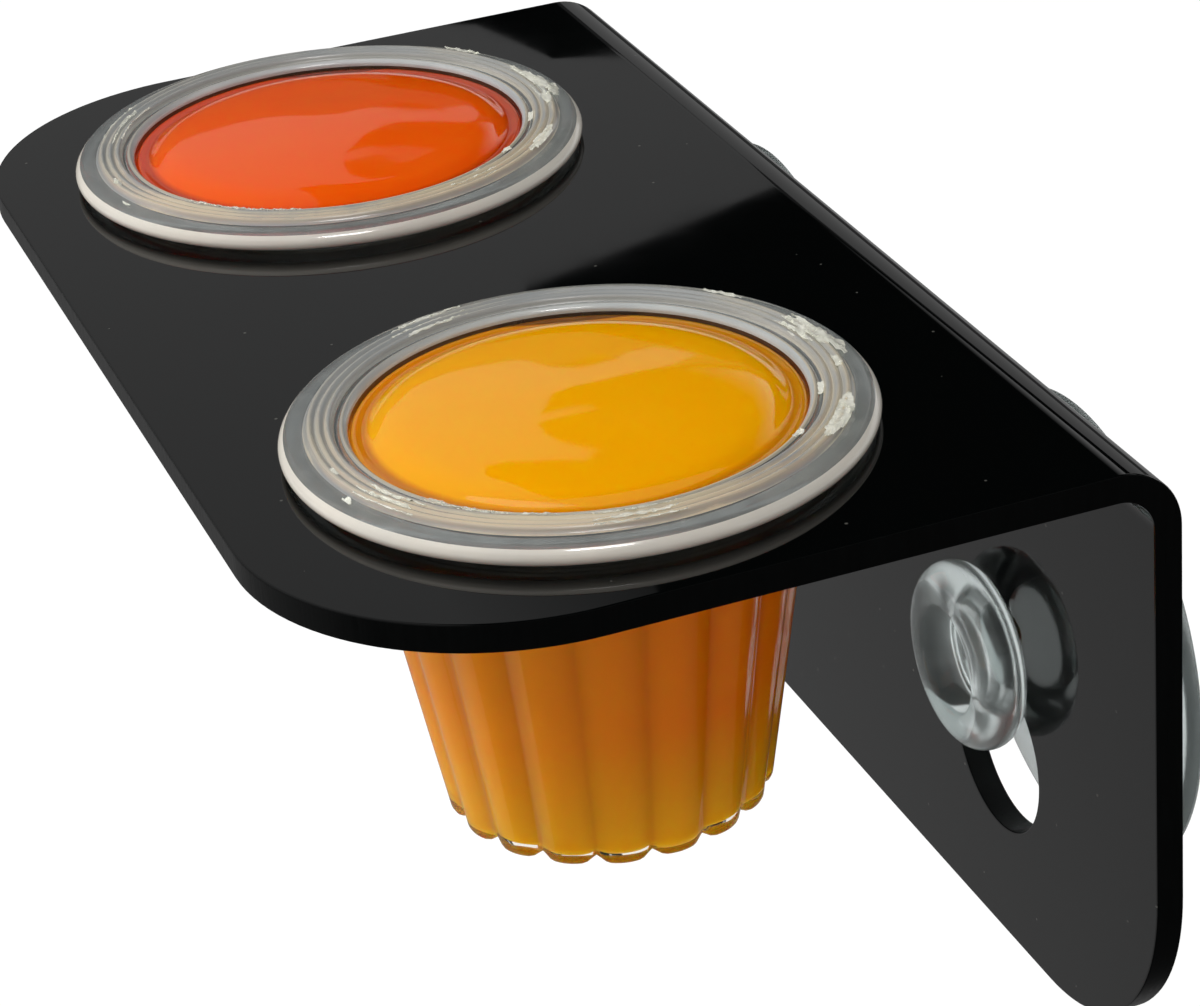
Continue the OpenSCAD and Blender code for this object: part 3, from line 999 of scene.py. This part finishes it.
class FRUIT_HOLDER_OT_lid_films(Operator):
    """Tear the ring of lid film that is left on each rim"""

    bl_idname = "fruit_holder.lid_films"
    bl_label = "Lid films"

    def execute(self, context):
        looks = context.scene.fruit_film
        material = torn_film(looks.film)
        tears = random.Random(looks.seed)
        for side in SIDES:
            axis = axis_of("fruit_cup_" + side)
            waves = [
                (tears.randint(2, 14), tears.uniform(0, 2 * math.pi), tears.uniform(0.2, 0.8))
                for _ in range(TEAR_WAVES)
            ]
            film = start_ring("torn_film_" + side, axis, FILM_ROWS[0], vertices=360)
            sweep(film, axis, FILM_ROWS, context.scene.fruit_cups)
            choose(film, "FACE", lambda f: not film_left(f.calc_center_median() - axis, waves))
            bpy.ops.mesh.delete(type="FACE")
            bpy.ops.mesh.select_all(action="SELECT")
            bpy.ops.mesh.vertices_smooth(factor=0.5, repeat=2)
            bpy.ops.transform.vertex_random(offset=0.09 * MM, normal=0.5, seed=looks.seed)
            leave_edit()
            modify(film, "SOLIDIFY", thickness=looks.thickness, offset=1)
            smooth(film, 50)
            hand_over(film, "cup_" + side, "lid_film_" + side, "lid_film", material)
        return {"FINISHED"}


def seen_directly(tree):
    """1 for rays from the camera, from gloss and through clear pieces, and 0 for other light."""
    path = add(tree, "LightPath").outputs
    seen = path["Is Camera Ray"]
    for ray in ("Is Glossy Ray", "Is Transmission Ray"):
        seen = add(tree, "Math", {0: seen, 1: path[ray]}, operation="MAXIMUM").outputs["Value"]
    return seen


def pale_board():
    """Matt white board: it takes the shadow, and glows for the eye, so that it stays white."""
    material = bpy.data.materials.new("pale_floor")
    tree = empty_nodes(material)
    pale, glow_share = linear("#f7f7f7"), 0.82
    glow = add(tree, "Emission", {"Color": pale, "Strength": 1.16}).outputs["Emission"]
    matt = add(tree, "BsdfDiffuse", {"Color": pale}).outputs["BSDF"]
    share = add(tree, "Math", {0: seen_directly(tree), 1: glow_share}, operation="MULTIPLY")
    mixed = add(tree, "MixShader", {0: share.outputs["Value"], 1: matt, 2: glow})
    add(tree, "OutputMaterial", {"Surface": mixed.outputs["Shader"]})
    return material


def glowing_card(name, strength):
    """Finish of a card that only glows, evenly all over."""
    material = bpy.data.materials.new(name)
    tree = empty_nodes(material)
    glow = add(tree, "Emission", {"Color": linear("#ffffff"), "Strength": strength})
    add(tree, "OutputMaterial", {"Surface": glow.outputs["Emission"]})
    return material


def fading_card(name, start, end):
    """Finish of a card whose glow changes along Y from one (place, strength) to another."""
    material, tree, place = start_material(name)
    along = add(tree, "SeparateXYZ", {"Vector": place}).outputs["Y"]
    fade = {"From Min": start[0], "From Max": end[0], "To Min": start[1], "To Max": end[1]}
    level = add(tree, "MapRange", {"Value": along, **fade}).outputs["Result"]
    glow = add(tree, "Emission", {"Color": linear("#ffffff"), "Strength": level})
    add(tree, "OutputMaterial", {"Surface": glow.outputs["Emission"]})
    return material


def card(name, corners, material):
    """A flat card that only gloss reflects, as a photographer's flag."""
    begin()
    bpy.ops.mesh.primitive_circle_add(vertices=len(corners), fill_type="NGON")
    made = settle(name)
    for vertex, corner in zip(made.data.vertices, corners):
        vertex.co = corner
    made.data.materials.append(material)
    made.visible_camera = made.visible_diffuse = made.visible_shadow = False
    made.visible_transmission = made.visible_volume_scatter = False
    return made


def level_card(name, outline, height, material):
    """A card that lies level, from the outline of its corners in plan."""
    return card(name, [(x, y, height) for x, y in outline], material)


def upright_card(name, start, end, low, high, material):
    """A card that stands between two places in plan."""
    return card(name, [(*start, low), (*end, low), (*end, high), (*start, high)], material)


def oblong(left, right, front, back):
    """Corners of an oblong in plan."""
    return [(left, front), (right, front), (right, back), (left, back)]


def light_only(source, *pieces):
    """Lets a lamp or a glowing card light these pieces alone."""
    lit = bpy.data.collections.new("lit_by_" + source.name)
    for piece in pieces:
        lit.objects.link(bpy.data.objects[piece])
    source.light_linking.receiver_collection = lit


def set_world(scene):
    """Makes the surroundings white to the eye and in gloss, and dimmer as a light."""
    scene.world = bpy.data.worlds.new("studio")
    tree = empty_nodes(scene.world)
    level = add(tree, "MapRange", {"Value": seen_directly(tree), "To Min": 0.4, "To Max": 1.0})
    white = {"Color": linear("#ffffff"), "Strength": level.outputs["Result"]}
    sky = add(tree, "Background", white)
    add(tree, "OutputWorld", {"Surface": sky.outputs["Background"]})


# Width of the floor, height of the ceiling card and the gap by which a card hangs under another
FLOOR_SIZE = 12
CEILING = 0.55
CARD_GAP = 1 * MM


def hang_cards(ground):
    """Sets the cards that the polished sheet and the wet jellies mirror, as a dim room would be."""
    grey, dim = glowing_card("grey_card", 0.26), glowing_card("dim_card", 0.05)
    black = glowing_card("black_card", 0.002)
    low = ground + 2 * CARD_GAP
    # The room in plan: its half width, its side by the camera, and the ground beside the object
    room, near = 3, 1.2
    split, behind, front, back = 0.03, -0.55, -0.8, 0.55
    level_card("ceiling_card", oblong(-room, near, -room, room), CEILING, grey)
    far = [(-room, -room), (-1.6, -room), (-1.58, 0.26), (-1.46, 0.36), (-1.45, 0.468), (-1.15, 0.468)]
    far += [(-1.613, 1.28), (-2.2, room), (-room, room)]
    level_card("far_card", far, CEILING - 3 * CARD_GAP, dim)
    # A pane and a blind, which the tray mirrors in its far corner
    pane = [(-1.36, 0.468), (-1.53, 0.606), (-1.37, 0.612), (-1.18, 0.49), (-1.16, 0.468)]
    level_card("far_pane", pane, CEILING - 4 * CARD_GAP, grey)
    blind = [(-1.46, 0.36), (-1.42, 0.415), (-1.35, 0.43), (-1.335, 0.468), (-1.45, 0.468)]
    level_card("far_blind", blind, CEILING - 5 * CARD_GAP, black)
    upright_card("horizon_card", (-room, -room), (-room, room), low, CEILING, dim)
    level_card("left_ground_card", oblong(behind, split, front, back), low, grey)
    level_card("right_ground_card", oblong(split, near, front, back), low, dim)
    distant = [(-room, front), (behind, front), (behind, back), (near, back), (near, 1.3), (-1.2, 1.3)]
    distant += [(-1.6, room), (-room, room)]
    level_card("far_ground_card", distant, low, dim)
    upright_card("camera_side_card", (near, -1.2), (near, 1), low, CEILING, dim)
    # The dark shape that the tray and the jellies mirror, with a softer notch in its edge
    flag = [(-1.106, 0.327), (-1.022, 0.28), (-0.903, 0.229), (-0.812, 0.199), (-0.736, 0.186)]
    flag += [(-0.669, 0.187), (-0.601, 0.198), (-0.578, 0.186), (-0.617, 0.145), (-0.643, 0.113)]
    flag += [(-0.63, 0.087), (-0.57, 0.06), (-0.503, 0.045), (-0.425, 0.03), (-0.326, 0.0)]
    flag += [(-0.1, -0.06), (-0.1, 1.28), (-1.613, 1.28), (-1.15, 0.46)]
    level_card("dark_flag", flag, CEILING - 5 * CARD_GAP, black)
    notch = [(-0.886, 0.215), (-0.868, 0.283), (-0.828, 0.276), (-0.822, 0.198)]
    softer = fading_card("half_card", (0.207, 0.26), (0.283, 0.08))
    level_card("half_flag", notch, CEILING - 6 * CARD_GAP, softer)
    # Towards the glass the dark shape grows lighter
    glow = [(-1.13, 0.45), (-0.2, 0.3), (-0.1, 0.3), (-0.1, 0.62), (-0.9, 0.8), (-1.2, 0.8)]
    brighter = fading_card("glow_card", (0.48, 0.002), (0.74, 0.6))
    level_card("far_glow", glow, CEILING - 7 * CARD_GAP, brighter)
    # The bend's soft grey band: these two cards light the bracket alone
    band = [(-room, 0.7), (-1.3, 0.62), (-1.6, 1.28), (-2.2, room), (-room, room)]
    wall = -room + 10 * CARD_GAP
    for made in (
        level_card("far_band", band, CEILING - 8 * CARD_GAP, grey),
        upright_card("far_wall_card", (wall, 0.9), (wall, room), low, CEILING - 9 * CARD_GAP, grey),
    ):
        light_only(made, "bracket_sheet")


def softbox(name, place, target, size, power, **seen):
    """A lamp at a place that faces its target, with its width and height, its watts and what sees it."""
    lamp = bpy.data.lights.new(name, "AREA")
    lamp.shape, lamp.energy = "RECTANGLE", power
    lamp.size, lamp.size_y = size
    made = bpy.data.objects.new(name, lamp)
    made.location = place
    made.rotation_euler = (Vector(target) - Vector(place)).to_track_quat("-Z", "Y").to_euler()
    for key, value in seen.items():
        setattr(made, key, value)
    bpy.context.scene.collection.objects.link(made)
    return made


def set_lamps():
    """Sets the soft window and overhead lamps, and the small ones that pick out the rims and edges."""
    no_mirror, no_matt = {"visible_glossy": False}, {"visible_diffuse": False}
    softbox("window", (-0.45, -0.7, 0.48), (0, -0.03, 0.01), (0.6, 0.6), 6, **no_mirror)
    softbox("overhead", (0.1, -0.15, 0.5), (0, -0.03, 0), (0.6, 0.6), 1.2)
    softbox("low_fill", (0.25, -0.42, 0), (0.027, -0.036, 0.01), (0.12, 0.12), 0.14, **no_mirror)
    place, target = (0.321, -0.108, 0.53), (0.027, -0.036, 0.027)
    sparkle = softbox("sparkle", place, target, (0.18, 0.04), 0.9, **no_matt)
    light_only(sparkle, *("fluted_cup_" + side for side in SIDES))
    softbox("side_strip", (0.45, 0.3, 0.12), (0.02, -0.03, 0), (0.05, 0.3), 0.06, **no_matt)


# The photograph's viewpoint: the camera's turn about Z, its tilt and its roll in degrees, and its place
# in millimetres
CAMERA_TURN, CAMERA_TILT, CAMERA_ROLL = 71.159, 27.475, -4.881
CAMERA_PLACE = (229.805, -104.716, 130.698)


def set_camera(scene, focal):
    """Stands the camera at the photograph's viewpoint."""
    lens = bpy.data.cameras.new("photo_camera")
    lens.lens, lens.sensor_width = focal, 36
    lens.clip_start, lens.clip_end = 0.01, 50
    camera = bpy.data.objects.new("photo_camera", lens)
    turn, tilt, roll = (math.radians(angle) for angle in (CAMERA_TURN, CAMERA_TILT, CAMERA_ROLL))
    back = Vector((math.sin(turn) * math.cos(tilt), -math.cos(turn) * math.cos(tilt), math.sin(tilt)))
    pose = back.to_track_quat("Z", "Y").to_matrix() @ Matrix.Rotation(roll, 3, "Z")
    camera.matrix_world = Matrix.Translation(Vector(CAMERA_PLACE) * MM) @ pose.to_4x4()
    scene.collection.objects.link(camera)
    scene.camera = camera


class FRUIT_HOLDER_OT_stage(Operator):
    """Set the floor, the soft lamps, the flags and the camera"""

    bl_idname = "fruit_holder.stage"
    bl_label = "Stage"

    def execute(self, context):
        settings, scene = context.scene.fruit_stage, context.scene
        scene.view_settings.view_transform = "Standard"
        set_world(scene)
        ground = -settings.floor_drop
        begin()
        bpy.ops.mesh.primitive_plane_add(size=FLOOR_SIZE, location=(0, 0, ground))
        floor = settle("floor")
        floor.data.materials.append(pale_board())
        hang_cards(ground)
        set_lamps()
        set_camera(scene, settings.focal)
        return {"FINISHED"}


STEPS = (
    FRUIT_HOLDER_OT_bracket,
    FRUIT_HOLDER_OT_suction_cups,
    FRUIT_HOLDER_OT_fruit_cups,
    FRUIT_HOLDER_OT_jellies,
    FRUIT_HOLDER_OT_lid_films,
    FRUIT_HOLDER_OT_stage,
)

GROUPS = {
    "fruit_bracket": BracketSettings,
    "fruit_suction": SuctionSettings,
    "fruit_cups": CupSettings,
    "fruit_jellies": JellySettings,
    "fruit_film": FilmSettings,
    "fruit_stage": StageSettings,
}


class FRUIT_HOLDER_PT_panel(Panel):
    """The sizes, the colours and one button for each step"""

    bl_idname = "FRUIT_HOLDER_PT_panel"
    bl_label = "Fruit Jelly Holder"
    bl_space_type = "VIEW_3D"
    bl_region_type = "UI"
    bl_category = "Fruit Holder"

    def draw(self, context):
        for name, group in GROUPS.items():
            box = self.layout.box()
            box.label(text=group.__doc__)
            for key in group.__annotations__:
                box.prop(getattr(context.scene, name), key)
        for step in STEPS:
            self.layout.operator(step.bl_idname)


CLASSES = (*GROUPS.values(), *STEPS, FRUIT_HOLDER_PT_panel)


def register():
    """Registers the classes and gives the scene its settings."""
    for each in CLASSES:
        bpy.utils.register_class(each)
    for name, group in GROUPS.items():
        setattr(bpy.types.Scene, name, PointerProperty(type=group))


def unregister():
    """Takes the settings and the classes away again."""
    for name in GROUPS:
        delattr(bpy.types.Scene, name)
    for each in reversed(CLASSES):
        bpy.utils.unregister_class(each)


def main():
    """Models every piece and sets the stage."""
    register()
    for step in STEPS:
        area, name = step.bl_idname.split(".")
        getattr(getattr(bpy.ops, area), name)()


if __name__ == "__main__":
    main()
